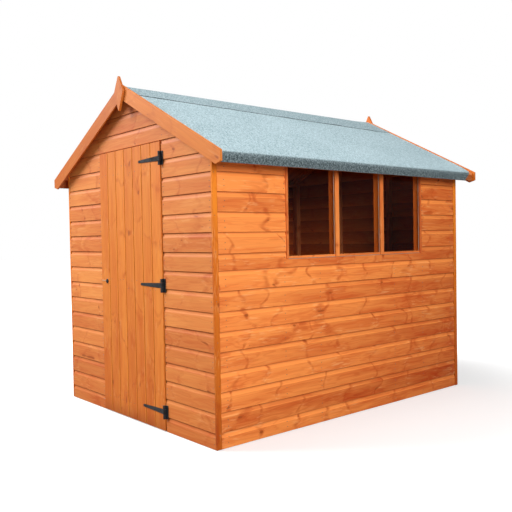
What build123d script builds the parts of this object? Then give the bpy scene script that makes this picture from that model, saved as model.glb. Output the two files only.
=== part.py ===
"""Wooden garden shed with an apex roof, a three-pane window wall and a ledged door.

Frame, in millimetres: X across the gables (+X is the window wall), Y along the ridge (-Y is the
gable with the door), Z up. The origin is the centre of the footprint on the ground.
"""
import os
from math import cos, radians, sin, tan

from build123d import *

# ---- Overall sizes ----
SHED_WIDTH = 1780.0           # outer face to outer face of the side claddings
SHED_LENGTH = 2376.0          # outer face to outer face of the gable claddings
EAVES_HEIGHT = 1695.0         # top of the side walls
ROOF_PITCH = 27.5             # degrees
GROUND_GAP = 4.0              # claddings stop short of the ground

# ---- Timber sections ----
CLADDING = 12.0               # shiplap thickness
FRAME_DEPTH = 44.0            # wall framing, through the wall
FRAME_WIDTH = 28.0            # wall framing, along the wall
BEARER_HEIGHT = 32.0
BEARER_WIDTH = 44.0
BEARER_COUNT = 5
FLOOR_BOARD = 12.0
FIT = 1.0                     # gap left between neighbouring loose timbers
PLAIN_STUD_COUNT = 5
BACK_STUD_SHARE = 1 / 3       # inner back studs, as a share of the room's half width

# ---- Corner strips ----
STRIP_WIDTH = 34.0
STRIP_PROUD = 2.0

# ---- Door ----
DOOR_WIDTH = 762.0
DOOR_ABOVE_EAVES = 81.0       # door's top above the side walls
DOOR_BOTTOM = 8.0
DOOR_BOARD = 12.0
DOOR_GAP = 6.0                # clear gap round the door, and behind its boards
DOOR_LAP = 10.0               # how far the jamb studs reach behind the door
LEDGE_WIDTH = 95.0
LEDGE_THICKNESS = 20.0
LEDGE_INSET = 25.0            # ledge ends to the jamb studs
LEDGE_END_MARGIN = 130.0      # top and bottom ledge centres to the door's ends
BRACE_WIDTH = 70.0

# ---- Hinges ----
HINGE_PLATE_HEIGHT = 84.0
HINGE_PLATE_WIDTH = 20.0
HINGE_METAL = 3.0
HINGE_BARREL_RADIUS = 6.0
HINGE_STRAP_LENGTH = 250.0
HINGE_STRAP_ROOT = 32.0
HINGE_STRAP_TIP = 16.0
HINGE_KNUCKLE = 34.0          # length of the strap's knuckle
HINGE_KNUCKLE_GAP = 1.0
HINGE_FROM_TOP = 102.0        # top hinge centre below the door's top
HINGE_FROM_BOTTOM = 117.0     # bottom hinge centre above the door's bottom
HINGE_STANDOFF = 9.0          # barrel's back to the cladding's face

# ---- Lock ----
LOCK_FROM_EDGE = 74.0
LOCK_HEIGHT = 902.0
LOCK_RADIUS = 15.0
LOCK_PLATE = 3.0
LOCK_BOSS_RADIUS = 9.0
LOCK_BOSS = 5.0

# ---- Window ----
WINDOW_WIDTH = 1366.0
WINDOW_CENTRE = 48.0          # its middle, along Y
WINDOW_HEIGHT = 590.0
WINDOW_BELOW_EAVES = 55.0     # its top below the side wall's top
PANE_COUNT = 3
PANE_THICKNESS = 3.0
JAMB_BEAD_WIDTH = 19.0
MULLION_BEAD_WIDTH = 36.0
BEAD_THICKNESS = 15.0
SILL_HEIGHT = 16.0
SILL_THICKNESS = 8.0

# ---- Roof ----
EAVES_OVERHANG = 122.0        # felt's outer face beyond the side cladding
GABLE_OVERHANG = 36.0         # roof boards beyond the gable cladding
ROOF_BOARD = 11.0
FELT = 2.5
FELT_TURN_DOWN = 60.0
EAVES_BATTEN_WIDTH = 28.0
BATTEN_SETBACK = 2.0          # batten's underside above the felt's lower edge
PURLIN_WIDTH = 28.0
PURLIN_DEPTH = 44.0
PURLIN_PLACES = (62.0, 440.0)  # from the ridge, along X
RIDGE_FELT_FRONT = 172.0      # half width over the ridge at the front end, along X
RIDGE_FELT_BACK = 238.0       # and at the back end
BARGE_THICKNESS = 12.0
BARGE_DEPTH = 88.0
BARGE_PROUD = 13.0            # top edge above the felt
BARGE_REACH = 21.0            # beyond the felt's outer face
BARGE_END_CUT = 60.0          # upright cut at the lower end
BARGE_CLIP = 49.0             # clipped corner, along X
RAFTER_GAP = 2.0

# ---- Finials ----
FINIAL_HEIGHT = 222.0
FINIAL_WIDTH = 112.0
FINIAL_WAIST = 100.0          # widest line below the tip
FINIAL_THICKNESS = 16.0
FINIAL_RISE = 46.0            # tip above the barge boards' apex
FINIAL_BLUNT = 8.0            # width of the blunted tips

# ---- Derived places ----
half_width = SHED_WIDTH / 2
half_length = SHED_LENGTH / 2
inner_x = half_width - CLADDING            # back of the side cladding
inner_y = half_length - CLADDING           # back of the gable cladding
room_x = inner_x - FRAME_DEPTH
room_y = inner_y - FRAME_DEPTH
slope = tan(radians(ROOF_PITCH))
upright = 1 / cos(radians(ROOF_PITCH))     # upright size of a thickness laid on the slope
floor_top = BEARER_HEIGHT + FLOOR_BOARD
plate_top = floor_top + FRAME_WIDTH        # top of the sole plates
stud_top = EAVES_HEIGHT - FRAME_WIDTH      # underside of the eaves rails
ridge_underside = EAVES_HEIGHT + half_width * slope
board_top = ridge_underside + ROOF_BOARD * upright
felt_top = board_top + FELT * upright
roof_end = half_length + GABLE_OVERHANG
felt_edge = half_width + EAVES_OVERHANG
board_edge = felt_edge - FELT
door_top = EAVES_HEIGHT + DOOR_ABOVE_EAVES
opening_half = DOOR_WIDTH / 2 + DOOR_GAP
opening_top = door_top + DOOR_GAP
jamb_inner = DOOR_WIDTH / 2 - DOOR_LAP
door_back = -inner_y - DOOR_GAP            # back of the door boards
door_face = door_back - DOOR_BOARD
window_top = EAVES_HEIGHT - WINDOW_BELOW_EAVES
window_bottom = window_top - WINDOW_HEIGHT
sill_rail_top = window_bottom + SILL_HEIGHT
window_start = WINDOW_CENTRE - WINDOW_WIDTH / 2
window_end = WINDOW_CENTRE + WINDOW_WIDTH / 2
glass_back = inner_x                       # glass sits on the studs' outer faces
glass_face = inner_x + PANE_THICKNESS
pane_clear = (WINDOW_WIDTH - 2 * JAMB_BEAD_WIDTH - (PANE_COUNT - 1) * MULLION_BEAD_WIDTH) / PANE_COUNT
mullion_pitch = pane_clear + MULLION_BEAD_WIDTH
first_mullion = window_start + JAMB_BEAD_WIDTH + pane_clear + MULLION_BEAD_WIDTH / 2
mullions = [first_mullion + n * mullion_pitch for n in range(PANE_COUNT - 1)]
pane_edges = [window_start, *mullions, window_end]

os.makedirs("parts", exist_ok=True)


def roof_underside(x):
    """Height of the roof boards' underside at a distance x from the ridge."""
    return ridge_underside - abs(x) * slope


def save(piece, name):
    """Label a finished piece and write it as one STEP file."""
    piece.part.label = name
    export_step(piece.part, f"parts/{name}.step")


def block(x_range, y_range, z_range):
    """Add a block between the given limits to the part being built."""
    with BuildSketch(Plane.XY.offset(z_range[0])) as footprint:
        with Locations(((x_range[0] + x_range[1]) / 2, (y_range[0] + y_range[1]) / 2)):
            Rectangle(x_range[1] - x_range[0], y_range[1] - y_range[0])
    extrude(footprint.sketch, amount=z_range[1] - z_range[0])


def gable_plate(points, y_front, thickness):
    """Add a plate cut to an outline in X and Z, from y_front towards +Y."""
    with BuildSketch(Plane.XZ.offset(-y_front)) as outline_face:
        with BuildLine():
            Polyline(*points, close=True)
        make_face()
    extrude(outline_face.sketch, amount=-thickness)


# ---- Floor ----
with BuildPart() as floor_bearers:
    bearer_span = 2 * inner_y - BEARER_WIDTH
    bearer_pitch = bearer_span / (BEARER_COUNT - 1)
    for n in range(BEARER_COUNT):
        middle = -bearer_span / 2 + n * bearer_pitch
        block((-inner_x, inner_x), (middle - BEARER_WIDTH / 2, middle + BEARER_WIDTH / 2), (0, BEARER_HEIGHT))
save(floor_bearers, "floor_bearers")

with BuildPart() as floor_boards:
    block((-inner_x, inner_x), (-inner_y, inner_y), (BEARER_HEIGHT, floor_top))
save(floor_boards, "floor_boards")

# ---- Gable claddings: beside the door, over it, and the plain back ----
shoulder = (ridge_underside - opening_top) / slope   # where the roof meets the door head's level
for side, name in ((-1, "front_wall_left"), (1, "front_wall_right")):
    with BuildPart() as front_wall:
        edge = min(max(shoulder, opening_half), inner_x)
        outline = [
            (side * opening_half, GROUND_GAP),
            (side * inner_x, GROUND_GAP),
            (side * inner_x, min(roof_underside(inner_x), opening_top)),
            (side * edge, min(roof_underside(edge), opening_top)),
            (side * opening_half, min(roof_underside(opening_half), opening_top)),
        ]
        gable_plate(list(dict.fromkeys(outline)), -half_length, CLADDING)
    save(front_wall, name)

with BuildPart() as front_gable:
    gable_plate([(-shoulder, opening_top), (shoulder, opening_top), (0, ridge_underside)], -half_length, CLADDING)
save(front_gable, "front_gable")

with BuildPart() as back_wall:
    outline = [
        (-inner_x, GROUND_GAP),
        (inner_x, GROUND_GAP),
        (inner_x, roof_underside(inner_x)),
        (0, ridge_underside),
        (-inner_x, roof_underside(inner_x)),
    ]
    gable_plate(outline, inner_y, CLADDING)
save(back_wall, "back_wall")

# ---- Side claddings: the plain wall, and the window wall in four pieces ----
side_end = half_length - STRIP_WIDTH
with BuildPart() as plain_wall:
    block((-half_width, -inner_x), (-side_end, side_end), (GROUND_GAP, EAVES_HEIGHT))
save(plain_wall, "plain_wall")

window_wall_pieces = (
    ("window_wall_lower", (-side_end, side_end), (GROUND_GAP, window_bottom)),
    ("window_wall_front", (-side_end, window_start), (window_bottom, EAVES_HEIGHT)),
    ("window_wall_back", (window_end, side_end), (window_bottom, EAVES_HEIGHT)),
    ("window_wall_head", (window_start, window_end), (window_top, EAVES_HEIGHT)),
)
for name, y_range, z_range in window_wall_pieces:
    with BuildPart() as window_wall:
        block((inner_x, half_width), y_range, z_range)
    save(window_wall, name)

# ---- Corner strips on the ends of the side walls ----
corners = (
    ("corner_strip_front_left", -1, -1),
    ("corner_strip_front_right", 1, -1),
    ("corner_strip_back_left", -1, 1),
    ("corner_strip_back_right", 1, 1),
)
for name, side, end in corners:
    with BuildPart() as corner_strip:
        x_range = sorted((side * inner_x, side * (half_width + STRIP_PROUD)))
        y_range = sorted((end * side_end, end * half_length))
        block(x_range, y_range, (GROUND_GAP, EAVES_HEIGHT - STRIP_PROUD * slope))
    save(corner_strip, name)

# ---- Wall framing ----
with BuildPart() as sole_plates:
    for side in (-1, 1):
        x_range = sorted((side * room_x, side * inner_x))
        block(x_range, (-inner_y, inner_y), (floor_top, plate_top))
        x_range = sorted((side * jamb_inner, side * (room_x - FIT)))
        block(x_range, (-inner_y, -room_y), (floor_top, plate_top))
    block((-room_x + FIT, room_x - FIT), (room_y, inner_y), (floor_top, plate_top))
save(sole_plates, "sole_plates")

stud_reach = inner_y - FRAME_WIDTH / 2
plain_stud_pitch = 2 * stud_reach / (PLAIN_STUD_COUNT - 1)
with BuildPart() as plain_wall_studs:
    for n in range(PLAIN_STUD_COUNT):
        middle = -stud_reach + n * plain_stud_pitch
        y_range = (middle - FRAME_WIDTH / 2, middle + FRAME_WIDTH / 2)
        block((-inner_x, -room_x), y_range, (plate_top, stud_top))
save(plain_wall_studs, "plain_wall_studs")

with BuildPart() as window_wall_studs:
    for middle in (-stud_reach, *pane_edges, stud_reach):
        y_range = (middle - FRAME_WIDTH / 2, middle + FRAME_WIDTH / 2)
        block((room_x, inner_x), y_range, (plate_top, stud_top))
save(window_wall_studs, "window_wall_studs")

rafter_upright = FRAME_WIDTH * upright


def gable_studs(edges, y_front):
    """Add upright studs under the gable rafters, each with its top cut to the slope."""
    for low, high in edges:
        outline = [
            (low, plate_top),
            (high, plate_top),
            (high, roof_underside(high) - rafter_upright),
            (low, roof_underside(low) - rafter_upright),
        ]
        gable_plate(outline, y_front, FRAME_DEPTH)


jamb_outer = jamb_inner + FRAME_WIDTH
end_stud_inner = room_x - FIT - FRAME_WIDTH
end_stud_outer = room_x - FIT
with BuildPart() as front_wall_studs:
    gable_studs(
        [
            (-end_stud_outer, -end_stud_inner),
            (-jamb_outer, -jamb_inner),
            (jamb_inner, jamb_outer),
            (end_stud_inner, end_stud_outer),
        ],
        -inner_y,
    )
save(front_wall_studs, "front_wall_studs")

back_stud_place = room_x * BACK_STUD_SHARE
with BuildPart() as back_wall_studs:
    gable_studs(
        [
            (-end_stud_outer, -end_stud_inner),
            (-back_stud_place - FRAME_WIDTH / 2, -back_stud_place + FRAME_WIDTH / 2),
            (back_stud_place - FRAME_WIDTH / 2, back_stud_place + FRAME_WIDTH / 2),
            (end_stud_inner, end_stud_outer),
        ],
        room_y,
    )
save(back_wall_studs, "back_wall_studs")

with BuildPart() as gable_rafters:
    for y_front in (-inner_y, room_y):
        for side in (-1, 1):
            top = roof_underside(RAFTER_GAP / 2)
            foot = roof_underside(end_stud_outer)
            outline = [
                (side * RAFTER_GAP / 2, top),
                (side * end_stud_outer, foot),
                (side * end_stud_outer, foot - rafter_upright),
                (side * RAFTER_GAP / 2, top - rafter_upright),
            ]
            gable_plate(outline, y_front, FRAME_DEPTH)
save(gable_rafters, "gable_rafters")

with BuildPart() as cross_rails:
    for side in (-1, 1):
        x_range = sorted((side * room_x, side * inner_x))
        block(x_range, (-inner_y, inner_y), (stud_top, EAVES_HEIGHT))
    block((-jamb_inner, jamb_inner), (-inner_y, -room_y), (door_top - DOOR_LAP, door_top - DOOR_LAP + FRAME_WIDTH))
    for low, high in zip(pane_edges, pane_edges[1:]):
        y_range = (low + FRAME_WIDTH / 2, high - FRAME_WIDTH / 2)
        block((room_x, inner_x), y_range, (sill_rail_top - FRAME_WIDTH, sill_rail_top))
save(cross_rails, "cross_rails")

# ---- Window: panes, beads and sill ----
for n, (low, high) in enumerate(zip(pane_edges, pane_edges[1:]), start=1):
    with BuildPart() as window_pane:
        block((glass_back, glass_face), (low + FIT, high - FIT), (window_bottom, window_top))
    save(window_pane, f"window_pane_{n}")

bead_front = glass_face + BEAD_THICKNESS
with BuildPart() as window_beads:
    block((glass_face, bead_front), (window_start, window_start + JAMB_BEAD_WIDTH), (window_bottom, window_top))
    for middle in mullions:
        y_range = (middle - MULLION_BEAD_WIDTH / 2, middle + MULLION_BEAD_WIDTH / 2)
        block((glass_face, bead_front), y_range, (window_bottom, window_top))
    block((glass_face, bead_front), (window_end - JAMB_BEAD_WIDTH, window_end), (window_bottom, window_top))
save(window_beads, "window_beads")

bead_edges = [window_start + JAMB_BEAD_WIDTH]
for middle in mullions:
    bead_edges += [middle - MULLION_BEAD_WIDTH / 2, middle + MULLION_BEAD_WIDTH / 2]
bead_edges.append(window_end - JAMB_BEAD_WIDTH)
with BuildPart() as window_sill:
    for low, high in zip(bead_edges[::2], bead_edges[1::2]):
        block((glass_face, glass_face + SILL_THICKNESS), (low, high), (window_bottom, sill_rail_top))
save(window_sill, "window_sill")

# ---- Roof boards, purlins and eaves battens ----
for side, name in ((-1, "roof_boards_left"), (1, "roof_boards_right")):
    with BuildPart() as roof_boards:
        outline = [
            (0, ridge_underside),
            (side * board_edge, ridge_underside - board_edge * slope),
            (side * board_edge, board_top - board_edge * slope),
            (0, board_top),
        ]
        gable_plate(outline, -roof_end, 2 * roof_end)
    save(roof_boards, name)

with BuildPart() as roof_purlins:
    lean = sin(radians(ROOF_PITCH))
    stand = cos(radians(ROOF_PITCH))
    for side in (-1, 1):
        for place in PURLIN_PLACES:
            low = place + PURLIN_WIDTH * stand
            outline = [
                (side * place, roof_underside(place)),
                (side * low, roof_underside(low)),
                (side * (low - PURLIN_DEPTH * lean), roof_underside(low) - PURLIN_DEPTH * stand),
                (side * (place - PURLIN_DEPTH * lean), roof_underside(place) - PURLIN_DEPTH * stand),
            ]
            gable_plate(outline, -room_y, 2 * room_y)
save(roof_purlins, "roof_purlins")

felt_lower = felt_top - felt_edge * slope - FELT_TURN_DOWN
batten_inner = board_edge - EAVES_BATTEN_WIDTH
with BuildPart() as eaves_battens:
    for side in (-1, 1):
        outline = [
            (side * board_edge, felt_lower + BATTEN_SETBACK),
            (side * board_edge, roof_underside(board_edge)),
            (side * batten_inner, roof_underside(batten_inner)),
            (side * batten_inner, felt_lower + BATTEN_SETBACK),
        ]
        gable_plate(outline, -roof_end, 2 * roof_end)
save(eaves_battens, "eaves_battens")

# ---- Felt: one sheet a slope, turned down at the eaves, and a strip over the ridge ----
for side, name in ((-1, "felt_left"), (1, "felt_right")):
    with BuildPart() as felt:
        outline = [
            (0, board_top),
            (0, felt_top),
            (side * felt_edge, felt_top - felt_edge * slope),
            (side * felt_edge, felt_lower),
            (side * board_edge, felt_lower),
            (side * board_edge, board_top - board_edge * slope),
        ]
        gable_plate(outline, -roof_end, 2 * roof_end)
    save(felt, name)

cap_reach = max(RIDGE_FELT_FRONT, RIDGE_FELT_BACK)
cap_top = felt_top + FELT * upright
with BuildPart() as ridge_felt:
    outline = [
        (-cap_reach, felt_top - cap_reach * slope),
        (0, felt_top),
        (cap_reach, felt_top - cap_reach * slope),
        (cap_reach, cap_top - cap_reach * slope),
        (0, cap_top),
        (-cap_reach, cap_top - cap_reach * slope),
    ]
    gable_plate(outline, -roof_end, 2 * roof_end)
    with BuildSketch(Plane.XY.offset(felt_top - cap_reach * slope)):
        with BuildLine():
            Polyline(
                (-RIDGE_FELT_FRONT, -roof_end),
                (RIDGE_FELT_FRONT, -roof_end),
                (RIDGE_FELT_BACK, roof_end),
                (-RIDGE_FELT_BACK, roof_end),
                close=True,
            )
        make_face()
    extrude(amount=cap_top - felt_top + cap_reach * slope, mode=Mode.INTERSECT)
save(ridge_felt, "ridge_felt")

# ---- Barge boards ----
barge_reach = felt_edge + BARGE_REACH
barge_apex = felt_top + BARGE_PROUD * upright
barge_end_top = barge_apex - barge_reach * slope
barge_lower_apex = barge_apex - BARGE_DEPTH * upright
clip_x = barge_reach - BARGE_CLIP
barges = (
    ("barge_board_front_left", -1, -roof_end - BARGE_THICKNESS),
    ("barge_board_front_right", 1, -roof_end - BARGE_THICKNESS),
    ("barge_board_back_left", -1, roof_end),
    ("barge_board_back_right", 1, roof_end),
)
for name, side, y_front in barges:
    with BuildPart() as barge_board:
        outline = [
            (0, barge_apex),
            (side * barge_reach, barge_end_top),
            (side * barge_reach, barge_end_top - BARGE_END_CUT),
            (side * clip_x, barge_lower_apex - clip_x * slope),
            (0, barge_lower_apex),
        ]
        gable_plate(outline, y_front, BARGE_THICKNESS)
    save(barge_board, name)

# ---- Finials ----
finial_tip = barge_apex + FINIAL_RISE
barge_face = roof_end + BARGE_THICKNESS
finials = (("finial_front", -barge_face - FINIAL_THICKNESS), ("finial_back", barge_face))
for name, y_front in finials:
    with BuildPart() as finial:
        outline = [
            (-FINIAL_BLUNT / 2, finial_tip),
            (FINIAL_BLUNT / 2, finial_tip),
            (FINIAL_WIDTH / 2, finial_tip - FINIAL_WAIST),
            (FINIAL_BLUNT / 2, finial_tip - FINIAL_HEIGHT),
            (-FINIAL_BLUNT / 2, finial_tip - FINIAL_HEIGHT),
            (-FINIAL_WIDTH / 2, finial_tip - FINIAL_WAIST),
        ]
        gable_plate(outline, y_front, FINIAL_THICKNESS)
    save(finial, name)

# ---- Door: boards, ledges and braces ----
with BuildPart() as door_boards:
    block((-DOOR_WIDTH / 2, DOOR_WIDTH / 2), (door_face, door_back), (DOOR_BOTTOM, door_top))
save(door_boards, "door_boards")

ledge_half = jamb_inner - LEDGE_INSET
ledge_low = DOOR_BOTTOM + LEDGE_END_MARGIN
ledge_high = door_top - LEDGE_END_MARGIN
ledge_middle = (ledge_low + ledge_high) / 2
ledges_at = (ledge_low, ledge_middle, ledge_high)
with BuildPart() as door_ledges:
    for middle in ledges_at:
        z_range = (middle - LEDGE_WIDTH / 2, middle + LEDGE_WIDTH / 2)
        block((-ledge_half, ledge_half), (door_back, door_back + LEDGE_THICKNESS), z_range)
    for low, high in zip(ledges_at, ledges_at[1:]):
        foot = low + LEDGE_WIDTH / 2 + FIT
        head = high - LEDGE_WIDTH / 2 - FIT
        outline = [
            (ledge_half, foot),
            (ledge_half - BRACE_WIDTH, foot),
            (-ledge_half, head),
            (-ledge_half + BRACE_WIDTH, head),
        ]
        gable_plate(outline, door_back, LEDGE_THICKNESS)
save(door_ledges, "door_ledges")

# ---- T hinges: plates on the wall, straps on the door, about one upright axis ----
hinge_x = DOOR_WIDTH / 2 + DOOR_GAP / 2
hinge_y = -half_length - HINGE_STANDOFF - HINGE_BARREL_RADIUS
hinges_at = (
    DOOR_BOTTOM + HINGE_FROM_BOTTOM,
    (DOOR_BOTTOM + HINGE_FROM_BOTTOM + door_top - HINGE_FROM_TOP) / 2,
    door_top - HINGE_FROM_TOP,
)
knuckle_half = HINGE_KNUCKLE / 2
plate_half = HINGE_PLATE_HEIGHT / 2


def barrel(low, high):
    """Add a length of the hinge barrel between two heights."""
    with BuildSketch(Plane.XY.offset(low)) as round_end:
        with Locations((hinge_x, hinge_y)):
            Circle(HINGE_BARREL_RADIUS)
    extrude(round_end.sketch, amount=high - low)


with BuildPart() as hinge_plates:
    plate_start = hinge_x + HINGE_BARREL_RADIUS - HINGE_METAL
    plate_end = hinge_x + HINGE_BARREL_RADIUS + HINGE_PLATE_WIDTH
    plate_face = -half_length - HINGE_METAL
    for middle in hinges_at:
        plate_x = (hinge_x + HINGE_BARREL_RADIUS + HINGE_KNUCKLE_GAP, plate_end)
        block(plate_x, (plate_face, -half_length), (middle - plate_half, middle + plate_half))
        for low, high in (
            (middle - plate_half, middle - knuckle_half - HINGE_KNUCKLE_GAP),
            (middle + knuckle_half + HINGE_KNUCKLE_GAP, middle + plate_half),
        ):
            barrel(low, high)
            block((plate_start, hinge_x + HINGE_BARREL_RADIUS), (hinge_y, -half_length), (low, high))
            block((hinge_x + HINGE_BARREL_RADIUS, plate_x[0]), (plate_face, -half_length), (low, high))
save(hinge_plates, "hinge_plates")

strap_face = door_face - HINGE_METAL
strap_root = hinge_x - HINGE_BARREL_RADIUS
strap_tip = hinge_x - HINGE_STRAP_LENGTH
strap_tip_centre = strap_tip + HINGE_STRAP_TIP / 2
with BuildPart() as hinge_straps:
    for middle in hinges_at:
        with BuildSketch(Plane.XZ.offset(-strap_face)):
            with BuildLine():
                Polyline(
                    (strap_tip_centre, middle - HINGE_STRAP_TIP / 2),
                    (strap_root, middle - HINGE_STRAP_ROOT / 2),
                    (hinge_x, middle - HINGE_STRAP_ROOT / 2),
                    (hinge_x, middle + HINGE_STRAP_ROOT / 2),
                    (strap_root, middle + HINGE_STRAP_ROOT / 2),
                    (strap_tip_centre, middle + HINGE_STRAP_TIP / 2),
                )
                ThreePointArc(
                    (strap_tip_centre, middle + HINGE_STRAP_TIP / 2),
                    (strap_tip, middle),
                    (strap_tip_centre, middle - HINGE_STRAP_TIP / 2),
                )
            make_face()
        extrude(amount=-HINGE_METAL)
        barrel(middle - knuckle_half, middle + knuckle_half)
        web_z = (middle - HINGE_STRAP_ROOT / 2, middle + HINGE_STRAP_ROOT / 2)
        block((strap_root, strap_root + HINGE_METAL), (hinge_y, door_face), web_z)
save(hinge_straps, "hinge_straps")

# ---- Lock cover on the door's face ----
lock_x = -DOOR_WIDTH / 2 + LOCK_FROM_EDGE
with BuildPart() as door_lock:
    with BuildSketch(Plane.XZ.offset(-door_face)):
        with Locations((lock_x, LOCK_HEIGHT)):
            Circle(LOCK_RADIUS)
    extrude(amount=LOCK_PLATE)
    with BuildSketch(Plane.XZ.offset(LOCK_PLATE - door_face)):
        with Locations((lock_x, LOCK_HEIGHT)):
            Circle(LOCK_BOSS_RADIUS)
    extrude(amount=LOCK_BOSS)
save(door_lock, "door_lock")
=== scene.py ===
"""Looks of a wooden apex garden shed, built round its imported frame.

In metres: X across the gables (+X is the window wall), Y along the ridge (-Y is the gable with the door)
and Z up, with the origin at the centre of the footprint on the ground.
"""

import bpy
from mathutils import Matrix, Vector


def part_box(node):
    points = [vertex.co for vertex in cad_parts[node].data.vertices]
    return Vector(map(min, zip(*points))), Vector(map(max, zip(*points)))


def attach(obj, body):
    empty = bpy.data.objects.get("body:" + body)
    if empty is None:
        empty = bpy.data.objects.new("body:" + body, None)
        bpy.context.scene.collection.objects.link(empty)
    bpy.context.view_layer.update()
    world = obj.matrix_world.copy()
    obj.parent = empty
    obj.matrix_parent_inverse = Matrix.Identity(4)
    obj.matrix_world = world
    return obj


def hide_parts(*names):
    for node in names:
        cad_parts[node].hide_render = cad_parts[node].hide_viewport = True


bl_info = {
    "name": "Wooden garden shed",
    "version": (1, 0, 0),
    "blender": (4, 5, 0),
    "location": "3D View > Sidebar > Shed",
    "description": "Builds the boards, framing, felt, glazing and ironwork of a wooden garden shed",
    "category": "Object",
}

import random
from functools import partial
from itertools import product
from math import atan, cos, pi, radians, sin, sqrt, tan

import bmesh
import bpy
from bpy.props import FloatProperty, FloatVectorProperty, IntProperty, PointerProperty
from mathutils import Matrix, Vector, noise

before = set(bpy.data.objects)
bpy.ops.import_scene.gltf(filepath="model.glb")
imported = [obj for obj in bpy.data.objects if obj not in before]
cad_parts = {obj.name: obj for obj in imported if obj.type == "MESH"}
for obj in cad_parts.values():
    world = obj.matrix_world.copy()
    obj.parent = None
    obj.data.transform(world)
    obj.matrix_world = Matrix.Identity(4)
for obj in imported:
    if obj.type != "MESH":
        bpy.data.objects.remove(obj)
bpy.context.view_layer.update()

MM = 0.001
GRAIN = "grain"                 # point layer: metres along, across and through each timber
TINT_AND_LIGHT = "tint"                   # point layer, mostly from -1 to 1: how deep a timber took the dip, with painted highlight and painted shade added in places
GRIME_AND_SHADE = "grime"                 # point layer, from 0 to 1: painted shade in the shiplap laps, dark door joints, and darker towards the door's bottom edge
CORNERS = ("front_left", "front_right", "back_left", "back_right")
SMOOTH = {"interpolation_type": "SMOOTHSTEP"}


def linear(code):
    """An sRGB hex colour as linear RGBA."""
    parts = [int(code[n : n + 2], 16) / 255 for n in (1, 3, 5)]
    return tuple(c / 12.92 if c <= 0.04045 else ((c + 0.055) / 1.055) ** 2.4 for c in parts) + (1.0,)


def length_of(name, millimetres, description):
    """A size that a user may change, stored in metres."""
    return FloatProperty(name=name, description=description, default=millimetres * MM, unit="LENGTH",
                         precision=4)


def colour_of(name, code, description):
    """A colour that a user may change, stored as linear RGBA."""
    return FloatVectorProperty(name=name, description=description, default=linear(code), size=4,
                               subtype="COLOR", min=0, max=1)


class ShedSizes(bpy.types.PropertyGroup):
    """Sizes of the shed's boards, felt and small ironwork."""

    board: length_of("Shiplap", 12, "Thickness of the shiplap boards")
    cove: length_of("Cove", 25, "Height of the hollow along each shiplap board's top edge")
    tongue: length_of("Tongue", 6, "Thickness of a shiplap board's tongue")
    lap: length_of("Lap", 8, "How far each tongue stands up behind the next board")
    first_course: length_of("First course", 4, "Lower edge of the lowest shiplap board")
    second_course: length_of("Second course", 96, "Lower edge of the second shiplap board")
    course: length_of("Course", 112, "Cover of one shiplap or floor board")
    strip_gap: length_of("Strip gap", 2.5, "Open joint between a side wall's boards and its end strips")
    groove: length_of("Groove", 4.5, "Width of the slope on each side of a matchboard joint")
    groove_slot: length_of("Groove slot", 1.6, "Width of the slot at the bottom of a matchboard joint")
    arris: length_of("Eased arris", 1.6, "Width of the eased edges on planed timber")
    sawn_arris: length_of("Sawn arris", 1, "Width of the eased edges on sawn timber")
    roof_board: length_of("Roof board", 118, "Cover of one roof board")
    felt: length_of("Felt", 2.5, "Thickness of the mineral felt")
    felt_fold: length_of("Felt fold", 11, "Radius of the felt's fold at the eaves")
    felt_trim: length_of("Felt trim", 42, "How far the turned-down felt stops short of the back barges")
    felt_slant: length_of("Felt slant", 56, "How much further the felt's lower edge stops short")
    felt_rise: length_of("Felt rise", 5, "How far the felt lifts where it meets the back barge boards")
    ridge_front: length_of("Ridge strip, front", 172, "Half width of the ridge strip over the door gable")
    ridge_back: length_of("Ridge strip, back", 238, "Half width of the ridge strip over the back gable")
    ridge_lift: length_of("Ridge strip lift", 3, "How far the ridge strip's edges curl off the roof")
    nail: length_of("Nail head", 2.8, "Radius of the nails' heads")
    screw: length_of("Screw head", 3.4, "Radius of the hinge screws' heads")
    sealant: length_of("Sealant", 4.5, "Width of the line of sealant along the glazing beads")
    door_boards: IntProperty(name="Door boards", description="Matchboards across the door", default=7,
                             min=3, max=12)


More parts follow.
